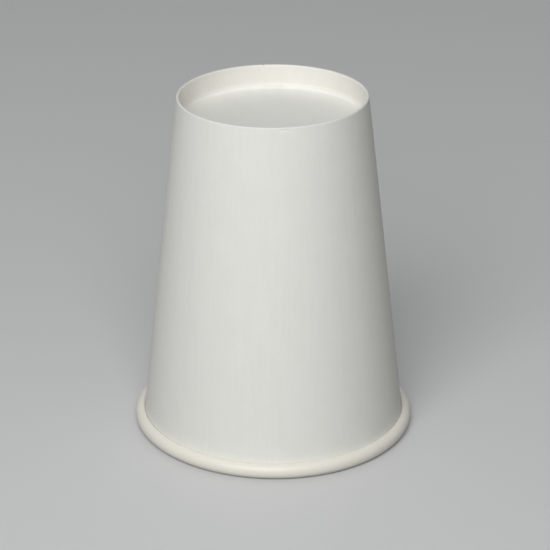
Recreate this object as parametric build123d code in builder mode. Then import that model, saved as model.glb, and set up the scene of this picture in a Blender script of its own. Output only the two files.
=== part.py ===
"""A paper cup, turned over so that it stands on its rolled rim.

Lengths are in millimetres. The origin is the middle of the mouth, at the height of the rim's lowest
line, and +Z points up to the base. The cup is two pieces of coated board: a side wall, which is one
sheet wrapped into a cone with a lapped seam at the back, and a base disc, whose flange is held in a
fold of the side wall.

A sheet's drink face is the side that would meet the drink. The side wall's section is drawn from its
drink face: up the ply that is folded into the base, over the fold, down the wall and round the roll.
"""

from build123d import *

import os
from math import acos, asin, atan2, cos, degrees, hypot, radians, sin, tan

# Overall sizes of the cup
cup_height = 112.0
rim_diameter = 90.0
base_diameter = 60.4

# Side wall: its board, the roll at the mouth and the fold at the base. The roll's shoulder is its
# broad upper turn, given by its radius and by how many degrees it turns.
wall_sheet = 0.30
roll_bend = 1.35
roll_shoulder = 2.2
shoulder_turn = 72.0
roll_height = 4.6
tuck_length = 1.1
fold_corner = 0.05

# Side seam: its lap and the climb onto the ply below, both measured along the rim, and the direction
# of the middle of the lap in degrees from +X
seam_lap = 8.0
seam_climb = 1.5
seam_direction = 90.0

# Base disc: its board, how deep the bend into its flange sits, that bend's radius, the slope in degrees
# at the edge of the shallow dish that the disc is pressed into, and where the flange ends
disc_sheet = 0.25
disc_depth = 8.0
disc_bend = 1.8
dish_slope = 3.5
flange_end_depth = 1.1

# How far the ply that is folded over the flange stops short of the disc's bend
ply_short = 0.2

# Coating between two plies that are sealed together
seal_film = 0.02

rim_radius = rim_diameter / 2
base_radius = base_diameter / 2
fold_slot = disc_sheet + 2 * seal_film

# The wall's drink face is the straight line between two turns. It leaves the outer corner of the
# fold on the outside of that turn, and meets the roll's lower turn on the inside of that turn.
corner_across = base_radius - wall_sheet - fold_corner
corner_up = cup_height - wall_sheet - fold_corner
roll_across = rim_radius - roll_bend
turns_apart = hypot(roll_across - corner_across, corner_up - roll_bend)
lean = atan2(roll_across - corner_across, corner_up - roll_bend)
taper = lean - asin((fold_corner + roll_bend) / turns_apart)
taper_angle = degrees(taper)
foot_across = roll_across - roll_bend * cos(taper)
foot_up = roll_bend - roll_bend * sin(taper)

# The folded ply comes down from the base's edge as far as the flange is straight, less its shortfall
fold_depth = disc_depth - disc_bend * (1 + sin(taper)) - ply_short

# The roll's last turn closes it: it sets the tuck down beside the wall, with a film of coating between
# them. Where the seam laps, the wall is one sheet thicker, and the turn ends on it, without a tuck.
shoulder_share = cos(radians(shoulder_turn)) * cos(taper)
turn_room = (rim_radius - foot_across) * cos(taper) + (roll_height - foot_up) * sin(taper)
close_room = turn_room - wall_sheet - seal_film - roll_shoulder * (cos(taper) - shoulder_share)
close_bend = close_room / (1 + sin(taper) + shoulder_share)
tucked_turn = 180 + taper_angle - shoulder_turn
lapped_turn = degrees(acos(wall_sheet / close_bend - 1)) + taper_angle - shoulder_turn
shoulder_rise = close_bend + (roll_shoulder - close_bend) * sin(radians(shoulder_turn))

# The seam takes up the same angle all the way along the cone
lap_angle = degrees(seam_lap / rim_radius)
climb_angle = degrees(seam_climb / rim_radius)
lap_start = seam_direction - lap_angle / 2


def wall_radius(height):
    """Radius of the straight wall's drink face at a height."""
    return foot_across - (height - foot_up) * tan(taper)


def sheet_line(depth, plies, lapped):
    """Draw the section line at a depth in the paper, where the plies are this thick together."""
    turn_up = cup_height - plies - fold_corner
    flat = (fold_slot - 2 * fold_corner) / cos(taper)
    turn_across = wall_radius(turn_up) - fold_corner / cos(taper) - flat
    ply_length = (fold_depth - plies - fold_corner) / cos(taper)
    wall_length = (turn_up + fold_corner * sin(taper) - foot_up) / cos(taper)
    free_end = (
        turn_across - (fold_corner + depth) * cos(taper) + ply_length * sin(taper),
        turn_up - (fold_corner + depth) * sin(taper) - ply_length * cos(taper),
    )
    ply = PolarLine(free_end, ply_length, direction=(-sin(taper), cos(taper)))
    inner_turn = JernArc(ply @ 1, ply % 1, fold_corner + depth, -90 - taper_angle)
    edge = PolarLine(inner_turn @ 1, flat, direction=inner_turn % 1)
    outer_turn = JernArc(edge @ 1, edge % 1, fold_corner + depth, taper_angle - 90)
    wall = PolarLine(outer_turn @ 1, wall_length, direction=outer_turn % 1)
    lower_turn = JernArc(wall @ 1, wall % 1, roll_bend - depth, 180 - taper_angle)
    rise = roll_height - shoulder_rise - roll_bend
    outside = PolarLine(lower_turn @ 1, rise, direction=lower_turn % 1)
    shoulder = JernArc(outside @ 1, outside % 1, roll_shoulder - depth, shoulder_turn)
    if lapped:
        last_turn = JernArc(shoulder @ 1, shoulder % 1, close_bend - depth, lapped_turn)
        return ply @ 0, last_turn @ 1
    last_turn = JernArc(shoulder @ 1, shoulder % 1, close_bend - depth, tucked_turn)
    tuck = PolarLine(last_turn @ 1, tuck_length, direction=last_turn % 1)
    return ply @ 0, tuck @ 1


def sheet_section(around, near, far, lapped=True):
    """Section of the plies between two depths, in the upright plane this many degrees from +X."""
    with BuildSketch(Plane.XZ.rotated((0, 0, around))) as section:
        with BuildLine():
            near_start, near_end = sheet_line(near, far, lapped)
            far_start, far_end = sheet_line(far, far, lapped)
            Line(near_start, far_start)
            Line(near_end, far_end)
        make_face()
    return section.sketch


# Side wall: one ply most of the way round, two in the lap, and the climb onto the ply below
with BuildPart() as side_wall:
    single_ply = sheet_section(lap_start + lap_angle, 0, wall_sheet, lapped=False)
    revolve(single_ply, axis=Axis.Z, revolution_arc=360 - lap_angle - climb_angle)
    both_plies = sheet_section(lap_start, 0, 2 * wall_sheet)
    revolve(both_plies, axis=Axis.Z, revolution_arc=lap_angle)
    climb_foot = sheet_section(lap_start - climb_angle, 0, wall_sheet)
    climb_top = sheet_section(lap_start, wall_sheet, 2 * wall_sheet)
    loft([climb_foot, climb_top], ruled=True, clean=False)
side_wall.part.label = "side_wall"

# Base disc: a shallow dish, then bent up into a flange that lies along the wall's drink face
bend_up = cup_height - disc_depth + disc_bend
flange_gap = seal_film + disc_sheet + disc_bend
bend_across = wall_radius(bend_up) - flange_gap / cos(taper)
bend_turn = 90 + taper_angle - dish_slope
dish_radius = bend_across / sin(radians(dish_slope)) + disc_bend
dish_up = bend_up - disc_bend * cos(radians(dish_slope)) - dish_radius * (1 - cos(radians(dish_slope)))
flange_top = cup_height - flange_end_depth
flange_length = (flange_top - bend_up - disc_bend * sin(taper)) / cos(taper)

with BuildPart() as base_disc:
    with BuildSketch(Plane.XZ):
        with BuildLine():
            dish = JernArc((0, dish_up), (1, 0), dish_radius, dish_slope)
            bend = JernArc(dish @ 1, dish % 1, disc_bend, bend_turn)
            flange = PolarLine(bend @ 1, flange_length, direction=bend % 1)
            under_dish = JernArc((0, dish_up - disc_sheet), (1, 0), dish_radius + disc_sheet, dish_slope)
            under_bend = JernArc(under_dish @ 1, under_dish % 1, disc_bend + disc_sheet, bend_turn)
            under_flange = PolarLine(under_bend @ 1, flange_length, direction=under_bend % 1)
            Line(dish @ 0, under_dish @ 0)
            Line(flange @ 1, under_flange @ 1)
        make_face()
    revolve(axis=Axis.Z)
base_disc.part.label = "base_disc"

os.makedirs("parts", exist_ok=True)
export_step(side_wall.part, "parts/side_wall.step")
export_step(base_disc.part, "parts/base_disc.step")
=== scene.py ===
"""How the paper cup looks, built around its solids. Lengths are in metres.

The cup stands upside down on its rolled rim. Both pieces are rebuilt as the sheets of board that they
are. The side wall is one strip, swept once round and on over its own start, so that the lap at the back
has two plies and two cut edges. The base disc is a sheet turned up into a flange.

A section line runs along a sheet's drink face, and the print face lies one sheet to its left.
"""

from math import acos, asin, atan2, cos, hypot, pi, radians, sin, tan

import bmesh
import bpy
import numpy as np
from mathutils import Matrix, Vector


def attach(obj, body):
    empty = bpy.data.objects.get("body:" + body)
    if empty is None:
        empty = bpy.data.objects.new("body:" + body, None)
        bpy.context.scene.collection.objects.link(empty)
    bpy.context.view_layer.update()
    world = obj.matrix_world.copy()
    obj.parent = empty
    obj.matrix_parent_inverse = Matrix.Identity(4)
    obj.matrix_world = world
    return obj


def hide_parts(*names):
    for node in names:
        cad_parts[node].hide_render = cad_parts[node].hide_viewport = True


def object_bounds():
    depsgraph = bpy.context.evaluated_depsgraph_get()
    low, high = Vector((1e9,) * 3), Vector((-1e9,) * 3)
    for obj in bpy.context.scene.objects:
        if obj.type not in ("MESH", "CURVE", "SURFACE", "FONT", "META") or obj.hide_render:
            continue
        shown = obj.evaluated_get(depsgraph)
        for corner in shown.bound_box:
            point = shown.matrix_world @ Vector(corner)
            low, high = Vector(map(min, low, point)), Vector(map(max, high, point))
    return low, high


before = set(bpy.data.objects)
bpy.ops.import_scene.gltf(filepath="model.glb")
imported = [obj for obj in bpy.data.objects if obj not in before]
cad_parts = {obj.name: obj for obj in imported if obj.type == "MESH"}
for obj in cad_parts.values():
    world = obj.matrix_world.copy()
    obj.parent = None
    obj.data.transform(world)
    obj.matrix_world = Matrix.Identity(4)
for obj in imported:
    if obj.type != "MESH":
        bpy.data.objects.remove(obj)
cad_low, cad_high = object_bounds()

mm = 0.001
full_turn = 2 * pi

# The cup's own sizes, as the solids have them
cup_height = cad_high.z
rim_radius = cad_high.x
base_radius = 30.2 * mm
wall_sheet = 0.30 * mm
roll_bend = 1.35 * mm
tuck_length = 1.1 * mm
fold_corner = 0.05 * mm
seam_lap = 8.0 * mm
seam_climb = 1.5 * mm
seam_direction = radians(90)
disc_sheet = 0.25 * mm
disc_depth = 8.0 * mm
disc_bend = 1.8 * mm
dish_slope = radians(3.5)
flange_end_depth = 1.1 * mm
seal_film = 0.02 * mm
fold_slot = disc_sheet + 2 * seal_film

# The wall is the straight line that touches the bend at its top and the solids' first bend of the roll
corner_across = base_radius - wall_sheet - fold_corner
corner_up = cup_height - wall_sheet - fold_corner
roll_across = rim_radius - roll_bend
turns_apart = hypot(roll_across - corner_across, corner_up - roll_bend)
lean = atan2(roll_across - corner_across, corner_up - roll_bend)
taper = lean - asin((fold_corner + roll_bend) / turns_apart)
foot_across = roll_across - roll_bend * cos(taper)
foot_up = roll_bend - roll_bend * sin(taper)
flange_depth = disc_depth - disc_bend * (1 + sin(taper))

# The roll is rounder than in the solids, and a little fuller and higher. Its lower turn is tight on the
# side of the wall and broad on the outside. Above that comes its shoulder, given by its radius and how
# far it turns, and the last turn closes it onto the wall.
roll_height = 4.85 * mm
roll_out = 0.30 * mm
outer_bend = 2.05 * mm
shoulder_bend = 2.6 * mm
shoulder_turn = radians(80)
roll_reach = rim_radius + roll_out
bend_apart = (roll_reach - outer_bend - foot_across) * cos(taper) - foot_up * sin(taper)
inner_bend = bend_apart / (1 - sin(taper))
wall_foot = inner_bend * (1 - sin(taper))

lap_angle = seam_lap / rim_radius
climb_angle = seam_climb / rim_radius
lap_start = seam_direction - lap_angle / 2
lap_end = lap_start + lap_angle

# In the lap the plies are pressed to a share of their thickness. There the roll closes a little
# earlier, clear of the ply under it, and has next to no tuck.
pressed_share = 0.75
lap_clearance = radians(7)
least_tuck = 0.06 * mm

# The folded ply is pressed onto the start of the disc's bend, and gets thinner there by this share
ply_hug = radians(40)
ply_thinned = 0.5
ply_thin_reach = 1.6 * mm

# How far a sheet's cut edges are rounded, and the directions of the points that round them
edge_round = 0.05 * mm
edge_angles = np.radians([-60, -20, 20, 60])
edge_points = len(edge_angles)

# The short parts that keep long faces flat beside bends
hold = 0.25 * mm

# How many parts the folded ply and a corner have. The ply's finish, with its painted light, ends within
# the first corner.
ply_bend_parts = 6
ply_parts = 4
corner_parts = 5
finished_corner_parts = 3
folded_parts = ply_bend_parts + (1 + ply_parts + 1) + finished_corner_parts

# The wall is divided finely beside the base's edge: lengths, and how many parts each has
near_edge = [(1.5 * mm, 10), (8.5 * mm, 8), (16 * mm, 8)]
near_edge_length = sum(length for length, _ in near_edge)

# Steps round the cup: close together at the seam, further apart round the rest
seam_step = radians(0.3)
seam_margin = 2 * climb_angle
round_steps = 280
disc_steps = 240


def wall_radius(height):
    """Radius of the straight wall's drink face at a height."""
    return foot_across - (height - foot_up) * tan(taper)


# Where the side wall's blank starts, measured from the point that its fan of lines meets in
blank_start = wall_radius(cup_height) / sin(taper) - flange_depth


def smooth_step(low, high, value):
    """0 below low, 1 above high, and an even rise between them."""
    share = np.clip((value - low) / (high - low), 0, 1)
    return share * share * (3 - 2 * share)


def straight(length, parts=1):
    """A straight run."""
    return [(length, 0, parts)]


def held(length, parts):
    """A straight run with a short part at each end."""
    return [*straight(hold), *straight(length - 2 * hold, parts), *straight(hold)]


def bend(radius, turn, parts):
    """A bend that turns left, or right where the turn is below zero."""
    return [(radius * abs(turn), turn, parts)]


def traced(start, heading, moves):
    """The points of a section line, its headings, and the length of paper up to each point."""
    points, headings, lengths = [start], [heading], [0.0]
    for length, turn, parts in moves:
        half = turn / parts / 2
        step = length / parts
        chord = step * sin(half) / half if half else step
        for _ in range(parts):
            aim = headings[-1] + half
            across, up = points[-1]
            points.append((across + chord * cos(aim), up + chord * sin(aim)))
            headings.append(aim + half)
            lengths.append(lengths[-1] + step)
    return np.array(points), np.array(headings), np.array(lengths)


def outline(line, near, sheet, thinned=0.0):
    """Outline of a sheet's section whose drink face is this far to the left of a traced line.

    It goes along the drink face, round the cut edge at the end, back along the print face and round
    the cut edge at the start. The sheet may be thinned by a share at its start. Returns the outline's
    points and, for each, the length along the paper."""
    points, headings, lengths = line
    left = np.stack([-np.sin(headings), np.cos(headings)], 1)
    ahead = np.stack([np.cos(headings), np.sin(headings)], 1)
    depths = sheet * (1 - thinned * (1 - smooth_step(0, ply_thin_reach, lengths)))
    faces = [points + near * left, points + (near + depths)[:, None] * left]
    halfway = 0.5 + 0.5 * np.sin(edge_angles)
    beyond = edge_round * np.cos(edge_angles)[:, None]
    end_edge = points[-1] + (near + depths[-1] * halfway)[:, None] * left[-1] + beyond * ahead[-1]
    start_edge = points[0] + (near + depths[0] * halfway[::-1])[:, None] * left[0] - beyond * ahead[0]
    ring = np.concatenate([faces[0], end_edge, faces[1][::-1], start_edge])
    at_end = np.full(edge_points, lengths[-1])
    at_start = np.zeros(edge_points)
    return ring, np.concatenate([lengths, at_end, lengths[::-1], at_start])


def roll_moves(lap):
    """Moves round the roll, from the foot of the wall. lap is 0 for one ply and 1 in the lap."""
    share = cos(shoulder_turn) * cos(taper)
    room = (roll_reach - foot_across) * cos(taper) + (roll_height - foot_up) * sin(taper)
    room -= wall_sheet + seal_film + shoulder_bend * (cos(taper) - share)
    close = room / (1 + sin(taper) + share)
    rise = close + (shoulder_bend - close) * sin(shoulder_turn)
    tucked = pi + taper - shoulder_turn
    lapped = acos(wall_sheet / close - 1) + taper - shoulder_turn - lap_clearance if lap else tucked
    return [
        *bend(inner_bend, pi / 2 - taper, parts=8),
        *bend(outer_bend, pi / 2, parts=10),
        *straight(roll_height - rise - outer_bend, parts=2),
        *bend(shoulder_bend, shoulder_turn, parts=14),
        *bend(close, tucked + (lapped - tucked) * lap, parts=12),
        *straight(tuck_length + (least_tuck - tuck_length) * lap, parts=3),
    ]


def wall_line(plies, lap):
    """The side wall's drink face, from the free end of the folded ply to the end of the roll."""
    turn_up = cup_height - plies - fold_corner
    flat = (fold_slot - 2 * fold_corner) / cos(taper)
    turn_across = wall_radius(turn_up) - fold_corner / cos(taper) - flat
    ply_length = (flange_depth - plies - fold_corner) / cos(taper)
    wall_length = (turn_up + fold_corner * sin(taper) - wall_foot) / cos(taper)
    hug_bend = disc_bend - seal_film
    upward = pi / 2 + taper
    free_end = (
        turn_across - fold_corner * cos(taper) + ply_length * sin(taper)
        - hug_bend * (sin(upward) - sin(upward - ply_hug)),
        turn_up - fold_corner * sin(taper) - ply_length * cos(taper)
        - hug_bend * (cos(upward - ply_hug) - cos(upward)),
    )
    moves = [
        *bend(hug_bend, ply_hug, ply_bend_parts),
        *held(ply_length, ply_parts),
        *bend(fold_corner, -pi / 2 - taper, corner_parts),
        *straight(flat),
        *bend(fold_corner, taper - pi / 2, corner_parts),
        *[(length, 0, parts) for length, parts in near_edge],
        *held(wall_length - near_edge_length, parts=20),
        *roll_moves(lap),
    ]
    return traced(free_end, upward - ply_hug, moves)


def disc_line():
    """The base disc's drink face, from its middle to the free end of its flange."""
    bend_up = cup_height - disc_depth + disc_bend
    flange_gap = seal_film + disc_sheet + disc_bend
    bend_across = wall_radius(bend_up) - flange_gap / cos(taper)
    dish_radius = bend_across / sin(dish_slope) + disc_bend
    dish_up = bend_up - disc_bend * cos(dish_slope) - dish_radius * (1 - cos(dish_slope))
    flange_length = (flange_depth - flange_end_depth) / cos(taper)
    moves = [
        *bend(dish_radius + disc_sheet, dish_slope, parts=24),
        *bend(disc_bend + disc_sheet, pi / 2 + taper - dish_slope, parts=14),
        *held(flange_length, parts=4),
    ]
    return traced((0.0, dish_up - disc_sheet), 0.0, moves)


# Unevenness of a formed cup. The rim and the base are a little out of round: how far in metres, how
# many times round the cup, or 0 for all round, and the direction of the first.
rim_lobes = [(0.06 * mm, 0, 0), (0.26 * mm, 2, radians(-54)), (0.15 * mm, 3, radians(40))]
base_lobes = [(-0.09 * mm, 0, 0), (0.15 * mm, 2, radians(31)), (0.04 * mm, 3, radians(75))]
wall_bow = 0.06 * mm

# Long shallow flutes that the wall gets from being wrapped on its mandrel
flute_depth = 0.012 * mm
flute_counts = range(17, 71, 6)
flute_seed = 12

# Small dents in the wall: direction, height, half their width and height, and depth, which is below
# zero for a bulge. The last is a nick under the front of the base's edge.
dents = [
    (radians(2), 96.5 * mm, 2.0 * mm, 2.0 * mm, 0.10 * mm),
    (radians(0), 99.0 * mm, 2.0 * mm, 2.0 * mm, -0.08 * mm),
    (radians(-83.5), 111.15 * mm, 1.2 * mm, 0.32 * mm, 0.17 * mm),
]

# Radii below this count as this much where something is divided by them
least_reach = 1 * mm


def lobed(lobes, around):
    """Sum of the lobes in each direction."""
    return sum(size * np.cos(count * (around - first)) for size, count, first in lobes)


def uneven(points):
    """The points moved in or out by the cup's small unevenness, the same for sheets that touch."""
    around = np.arctan2(points[:, 1], points[:, 0])
    reach = np.hypot(points[:, 0], points[:, 1])
    up_share = points[:, 2] / cup_height
    out = lobed(rim_lobes, around) * (1 - up_share) + lobed(base_lobes, around) * up_share
    chance = np.random.default_rng(flute_seed)
    flutes = np.zeros(len(points))
    for count in flute_counts:
        first, drift = chance.uniform(-pi, pi, 2)
        flutes += np.cos(count * around + first + drift * up_share)
    out += flute_depth / len(flute_counts) ** 0.5 * flutes * np.sin(pi * np.clip(up_share, 0, 1))
    out += wall_bow * 4 * up_share * (1 - up_share)
    for direction, height, half_width, half_height, depth in dents:
        sideways = np.arctan2(np.sin(around - direction), np.cos(around - direction)) * reach
        away = np.hypot(sideways / half_width, (points[:, 2] - height) / half_height)
        out -= depth * np.exp(-(away**2))
    share = reach / np.maximum(wall_radius(points[:, 2]), least_reach)
    moved = points.copy()
    moved[:, :2] *= (1 + out * np.minimum(share, 1) / np.maximum(reach, least_reach))[:, None]
    return moved


# Places of a sheet's materials in its list, and the tolerances that its mesh is finished with
on_drink_face, on_print_face, on_cut_edge, on_folded_ply = range(4)
same_place = 0.001 * mm
sharp_angle = radians(55)


def end_cap(first, run):
    """Faces that close a sheet's cut end. Its ring of points starts at the first, and each of its two
    faces has a run of them."""
    near = first + np.arange(run)
    far = first + 2 * run + edge_points - 1 - np.arange(run)
    strips = [[near[k], near[k + 1], far[k + 1], far[k]] for k in range(run - 1)]
    end_edge = range(first + run - 1, first + run + edge_points + 1)
    start_edge = [*range(first + 2 * run + edge_points - 1, first + 2 * (run + edge_points)), first]
    return [[int(point) for point in cap] for cap in (*strips, end_edge, start_edge)]


def swept(name, rings, along, angles, blank_place, slots, closed, fold_parts=0):
    """A mesh swept from one ring of section points at each angle round the Z axis.

    blank_place gives each point's place on the flat blank, which the materials read. slots are the
    materials of the drink face, the print face and the cut edges, and the one that the print face has
    on the first fold_parts parts of its section. An open sweep gets its two cut ends."""
    rings = np.array(rings)
    stations, count = rings.shape[:2]
    turn = np.asarray(angles)[:, None]
    across, up = rings[..., 0], rings[..., 1]
    points = np.stack([across * np.cos(turn), across * np.sin(turn), up], -1).reshape(-1, 3)
    run = (count - 2 * edge_points) // 2
    print_end = count - edge_points - 1
    i, j = np.meshgrid(np.arange(stations - 1), np.arange(print_end if closed else count), indexing="ij")
    after = (j + 1) % count
    quads = np.stack([i * count + j, (i + 1) * count + j, (i + 1) * count + after, i * count + after], -1)
    kinds = np.full(j.shape, on_cut_edge)
    kinds[j < run - 1] = on_drink_face
    kinds[(j >= run + edge_points) & (j < print_end)] = on_print_face
    kinds[(kinds == on_print_face) & (j >= print_end - fold_parts)] = on_folded_ply
    faces = quads.reshape(-1, 4).tolist()
    kinds = kinds.ravel().tolist()
    if not closed:
        first_cap = end_cap(0, run)
        last_cap = [cap[::-1] for cap in end_cap((stations - 1) * count, run)]
        faces += first_cap + last_cap
        kinds += [on_cut_edge] * len(first_cap + last_cap)
    mesh = bpy.data.meshes.new(name)
    mesh.from_pydata(uneven(points).tolist(), [], faces)
    place = mesh.attributes.new("blank", "FLOAT_VECTOR", "POINT")
    place.data.foreach_set("vector", blank_place(turn, along).reshape(-1, 3).astype(np.float32).ravel())
    for material in slots:
        mesh.materials.append(material)
    mesh.polygons.foreach_set("material_index", kinds)
    solid = bmesh.new()
    solid.from_mesh(mesh)
    bmesh.ops.remove_doubles(solid, verts=solid.verts, dist=same_place)
    bmesh.ops.delete(solid, geom=[v for v in solid.verts if not v.link_faces], context="VERTS")
    solid.to_mesh(mesh)
    solid.free()
    mesh.shade_smooth()
    mesh.set_sharp_from_angle(angle=sharp_angle)
    piece = bpy.data.objects.new(name, mesh)
    bpy.context.scene.collection.objects.link(piece)
    return piece


# Materials

# Marks of the board on its flat blank: how wide across the grain, and how long with it
fibre_size = (0.16 * mm, 0.55 * mm)
speck_size = (0.9 * mm, 1.6 * mm)
streak_size = (1.3 * mm, 28 * mm)
cloud_size = (6 * mm, 9 * mm)

# What share of the way from light to dark each kind of mark takes
cloud_tone = 0.4
streak_tone = 0.35
speck_tone = 0.25

# The part of a noise's range that colour and roughness use, and the wider one that the bumps use
tone_range = (0.3, 0.7)
bump_range = (0.2, 0.8)


def added(tree, kind, inputs=None, **settings):
    """A new node. Each input is a plain value, or the socket that it is linked from."""
    node = tree.nodes.new(kind)
    for key, value in settings.items():
        setattr(node, key, value)
    for key, value in (inputs or {}).items():
        if isinstance(value, bpy.types.NodeSocket):
            tree.links.new(value, node.inputs[key])
        else:
            node.inputs[key].default_value = value
    return node


def combined(tree, operation, first, second):
    """The result of a sum, a product or the like of two values."""
    return added(tree, "ShaderNodeMath", {0: first, 1: second}, operation=operation).outputs[0]


def grain(tree, place, size, detail=3.0, rough=0.55, shift=0.0):
    """Noise on the flat blank whose spots have this width across the grain and length with it."""
    across, along = size
    mapped = added(
        tree,
        "ShaderNodeMapping",
        {"Vector": place, "Location": (shift, shift, 0), "Scale": (1 / across, 1 / along, 1 / across)},
    )
    noise = added(
        tree,
        "ShaderNodeTexNoise",
        {"Vector": mapped.outputs["Vector"], "Scale": 1.0, "Detail": detail, "Roughness": rough},
    )
    return noise.outputs["Fac"]


def blended(tree, factor, first, second):
    """A colour between two others."""
    node = added(tree, "ShaderNodeMix", data_type="RGBA")
    tree.links.new(factor, node.inputs[0])
    node.inputs[6].default_value = (*first, 1)
    node.inputs[7].default_value = (*second, 1)
    return node.outputs[2]


def spread(tree, value, from_range, to_low, to_high):
    """A value's range, stretched to another range and held there."""
    low, high = from_range
    node = added(
        tree,
        "ShaderNodeMapRange",
        {"Value": value, "From Min": low, "From Max": high, "To Min": to_low, "To Max": to_high},
    )
    return node.outputs["Result"]


def bumped(tree, height, distance, under=None):
    """The surface's direction with a bump of this height, on top of another bump where one is given."""
    inputs = {"Height": height, "Distance": distance, "Strength": 1.0}
    if under is not None:
        inputs["Normal"] = under
    return added(tree, "ShaderNodeBump", inputs).outputs["Normal"]


def board(name, light, dark, smooth, matt, fibre_height, cloud_height, specular):
    """Paper board: cloudy fibres in its colour, a vertical grain, and a fine fibre bump."""
    material = bpy.data.materials.new(name)
    material.use_nodes = True
    tree = material.node_tree
    shader = tree.nodes["Principled BSDF"]
    place = added(tree, "ShaderNodeAttribute", attribute_name="blank").outputs["Vector"]
    fibres = grain(tree, place, fibre_size, detail=4.0, rough=0.6)
    specks = grain(tree, place, speck_size, shift=3.1)
    streaks = grain(tree, place, streak_size, shift=7.7)
    clouds = grain(tree, place, cloud_size, detail=4.0, shift=11.3)
    cloudy = spread(tree, clouds, tone_range, 0, cloud_tone)
    streaky = spread(tree, streaks, tone_range, 0, streak_tone)
    specked = spread(tree, specks, tone_range, 0, speck_tone)
    tone = combined(tree, "ADD", combined(tree, "ADD", cloudy, streaky), specked)
    tree.links.new(blended(tree, tone, light, dark), shader.inputs["Base Color"])
    tree.links.new(spread(tree, fibres, tone_range, smooth, matt), shader.inputs["Roughness"])
    shader.inputs["Specular IOR Level"].default_value = specular
    low = bumped(tree, spread(tree, clouds, bump_range, 0, 1), cloud_height)
    mid = bumped(tree, spread(tree, streaks, bump_range, 0, 1), cloud_height / 2, low)
    tree.links.new(bumped(tree, fibres, fibre_height, mid), shader.inputs["Normal"])
    return material


print_face = board(
    "print_face",
    light=(0.825, 0.83, 0.785),
    dark=(0.775, 0.78, 0.735),
    smooth=0.58,
    matt=0.74,
    fibre_height=0.006 * mm,
    cloud_height=0.012 * mm,
    specular=0.1,
)
# The folded ply shows the same print face as the wall's outside, coloured lighter and warmer: painted
# light for the light bounced round the recess
fold_face_with_painted_light = board(
    "fold_face_with_painted_light",
    light=(0.84, 0.822, 0.768),
    dark=(0.795, 0.777, 0.723),
    smooth=0.36,
    matt=0.50,
    fibre_height=0.004 * mm,
    cloud_height=0.012 * mm,
    specular=0.5,
)
# The base disc's print face is coloured lighter than the wall's: painted light for the light bounced
# round the recess
disc_face_with_painted_light = board(
    "disc_face_with_painted_light",
    light=(0.845, 0.847, 0.808),
    dark=(0.805, 0.807, 0.768),
    smooth=0.40,
    matt=0.55,
    fibre_height=0.005 * mm,
    cloud_height=0.012 * mm,
    specular=0.5,
)
drink_face = board(
    "drink_face",
    light=(0.825, 0.797, 0.718),
    dark=(0.795, 0.767, 0.688),
    smooth=0.34,
    matt=0.46,
    fibre_height=0.003 * mm,
    cloud_height=0.010 * mm,
    specular=0.5,
)
cut_edge = board(
    "cut_edge",
    light=(0.80, 0.78, 0.71),
    dark=(0.72, 0.70, 0.62),
    smooth=0.75,
    matt=0.9,
    fibre_height=0.02 * mm,
    cloud_height=0.010 * mm,
    specular=0.25,
)


def side_wall():
    """The side wall's sheet, from the start of the lap once round and on to the lap's end."""
    seam_reach = lap_end + seam_margin
    far_reach = lap_start - seam_margin + full_turn
    angles = np.concatenate([
        np.linspace(lap_start, seam_reach, int((seam_reach - lap_start) / seam_step)),
        np.linspace(seam_reach, far_reach, round_steps)[1:-1],
        np.linspace(far_reach, lap_end + full_turn, int((lap_end + full_turn - far_reach) / seam_step)),
    ])
    # How far the sheet has climbed onto its own start, and how much each place belongs to the lap
    climbed = smooth_step(lap_start - climb_angle + full_turn, lap_start + full_turn, angles)
    settled = smooth_step(lap_end, lap_end + climb_angle, angles)
    lapped = np.maximum(climbed, 1 - settled)
    rings = []
    for climb, lap in zip(climbed, lapped):
        sheet = wall_sheet * (1 - (1 - pressed_share) * lap)
        plies = sheet + (sheet + seal_film) * lap
        ring, along = outline(wall_line(plies, lap), climb * (sheet + seal_film), sheet, ply_thinned)
        rings.append(ring)

    def blank_place(turn, along):
        """The wall's blank is a sector of a ring, and the grain runs up its middle."""
        fan = (turn - seam_direction - pi) * sin(taper)
        length = blank_start + along
        return np.stack([length * np.sin(fan), length * np.cos(fan), 0 * length * fan], -1)

    slots = [drink_face, print_face, cut_edge, fold_face_with_painted_light]
    return swept(
        "side_wall_board", rings, along, angles, blank_place, slots, closed=False, fold_parts=folded_parts
    )


def base_disc():
    """The base disc's sheet."""
    angles = np.linspace(0, full_turn, disc_steps + 1)
    ring, along = outline(disc_line(), 0.0, disc_sheet)

    def blank_place(turn, along):
        """The disc's blank is round, and the grain runs along Y."""
        return np.stack([along * np.cos(turn), along * np.sin(turn), 0 * along * turn], -1)

    rings = [ring] * len(angles)
    slots = [drink_face, disc_face_with_painted_light, cut_edge]
    return swept("base_disc_board", rings, along, angles, blank_place, slots, closed=True)


wall = side_wall()
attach(wall, "root")
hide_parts("side_wall")

disc = base_disc()
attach(disc, "root")
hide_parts("base_disc")


# Floor and backdrop: what the camera and gloss see is pale, and what lights the cup is a plain grey
floor_shown = (0.68, 0.685, 0.69)
floor_lighting = (0.26, 0.26, 0.26)
floor_half_width = 3.0
floor_roughness = 0.42
floor_specular = 0.35
backdrop_shown = (0.58, 0.585, 0.59)

# The world's light: all round, low down, and how much more of the low light comes from behind. At the
# right a share of it is left, and it ends at this height, where 1 is straight up.
ambient = 0.13
low_down = 0.40
from_behind = 0.45
right_share = 0.4
low_light_top = 0.6
white = (1, 1, 1, 1)


def seen(tree):
    """1 for rays from the camera and for gloss and clear rays, 0 for those that light things."""
    path = added(tree, "ShaderNodeLightPath").outputs
    most = combined(tree, "MAXIMUM", path["Is Camera Ray"], path["Is Glossy Ray"])
    return combined(tree, "MAXIMUM", most, path["Is Transmission Ray"])


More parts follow.
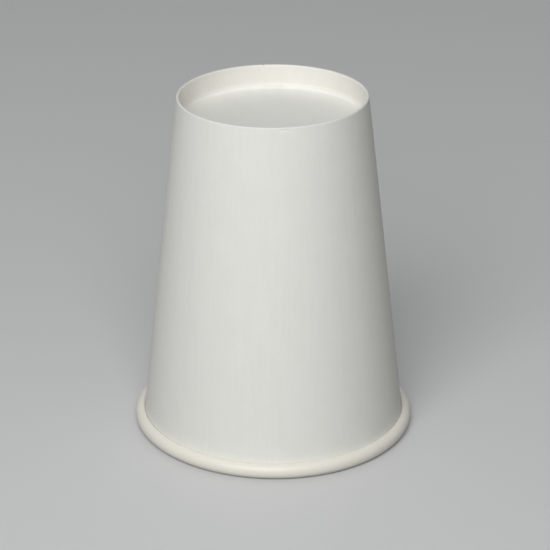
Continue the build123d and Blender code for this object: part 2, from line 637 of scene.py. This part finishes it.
def make_floor():
    """A flat floor under the cup."""
    mesh = bpy.data.meshes.new("floor")
    half = floor_half_width
    corners = [(-half, -half, 0), (half, -half, 0), (half, half, 0), (-half, half, 0)]
    mesh.from_pydata(corners, [], [(0, 1, 2, 3)])
    material = bpy.data.materials.new("floor_finish")
    material.use_nodes = True
    tree = material.node_tree
    shown = tree.nodes["Principled BSDF"]
    shown.inputs["Base Color"].default_value = (*floor_shown, 1)
    shown.inputs["Roughness"].default_value = floor_roughness
    shown.inputs["Specular IOR Level"].default_value = floor_specular
    lighting = added(tree, "ShaderNodeBsdfDiffuse", {"Color": (*floor_lighting, 1)})
    mix = added(tree, "ShaderNodeMixShader", {0: seen(tree), 1: lighting.outputs[0], 2: shown.outputs[0]})
    tree.links.new(mix.outputs[0], tree.nodes["Material Output"].inputs["Surface"])
    mesh.materials.append(material)
    floor = bpy.data.objects.new("floor", mesh)
    bpy.context.scene.collection.objects.link(floor)


def make_world():
    """Soft light from all round, with more near the horizon. The most there comes from behind the cup,
    so that its back isn't left dark, and the least from the right, as in the photograph."""
    world = bpy.data.worlds.new("studio")
    bpy.context.scene.world = world
    world.use_nodes = True
    tree = world.node_tree
    shown = tree.nodes["Background"]
    shown.inputs["Color"].default_value = (*backdrop_shown, 1)
    direction = added(tree, "ShaderNodeTexCoord").outputs["Generated"]
    parts = added(tree, "ShaderNodeSeparateXYZ", {0: direction}).outputs
    height = added(tree, "ShaderNodeMath", {0: parts["Z"]}, operation="ABSOLUTE").outputs[0]
    near_horizon = spread(tree, height, (0.0, low_light_top), 1.0, 0.0)
    to_back = spread(tree, parts["Y"], (0.0, 1.0), low_down, low_down + from_behind)
    to_right = spread(tree, parts["X"], (0.0, 1.0), 1.0, right_share)
    low = combined(tree, "MULTIPLY", near_horizon, combined(tree, "MULTIPLY", to_back, to_right))
    strength = combined(tree, "ADD", low, ambient)
    lighting = added(tree, "ShaderNodeBackground", {"Color": white, "Strength": strength})
    mix = added(tree, "ShaderNodeMixShader", {0: seen(tree), 1: lighting.outputs[0], 2: shown.outputs[0]})
    tree.links.new(mix.outputs[0], tree.nodes["World Output"].inputs["Surface"])


def make_key():
    """A soft lamp in front of the cup, high up and a little to the left."""
    to_left = radians(10.5)
    raised = radians(40)
    distance = 1.3
    lamp = bpy.data.lights.new("key", "AREA")
    lamp.shape = "DISK"
    lamp.size = 1.2
    lamp.energy = 15.2
    key = bpy.data.objects.new("key", lamp)
    away = Vector((-sin(to_left) * cos(raised), -cos(to_left) * cos(raised), sin(raised)))
    middle = Vector((0, 0, cup_height / 2))
    key.location = middle + away * distance
    key.rotation_mode = "QUATERNION"
    key.rotation_quaternion = away.to_track_quat("Z", "Y")
    bpy.context.scene.collection.objects.link(key)


def make_camera():
    """The photograph's viewpoint, found by fitting the cup's outline."""
    degrees_down = 23.74
    degrees_rolled = -0.125
    view = bpy.data.cameras.new("camera")
    view.sensor_width = 36
    view.lens = 157.22
    view.shift_x = 0.0034
    camera = bpy.data.objects.new("camera", view)
    camera.location = (0, -0.7092, 0.36246)
    camera.rotation_mode = "ZYX"
    camera.rotation_euler = (radians(90 - degrees_down), 0, radians(degrees_rolled))
    bpy.context.scene.collection.objects.link(camera)
    bpy.context.scene.camera = camera


make_floor()
make_world()
make_key()
make_camera()
bpy.context.scene.view_settings.view_transform = "Standard"
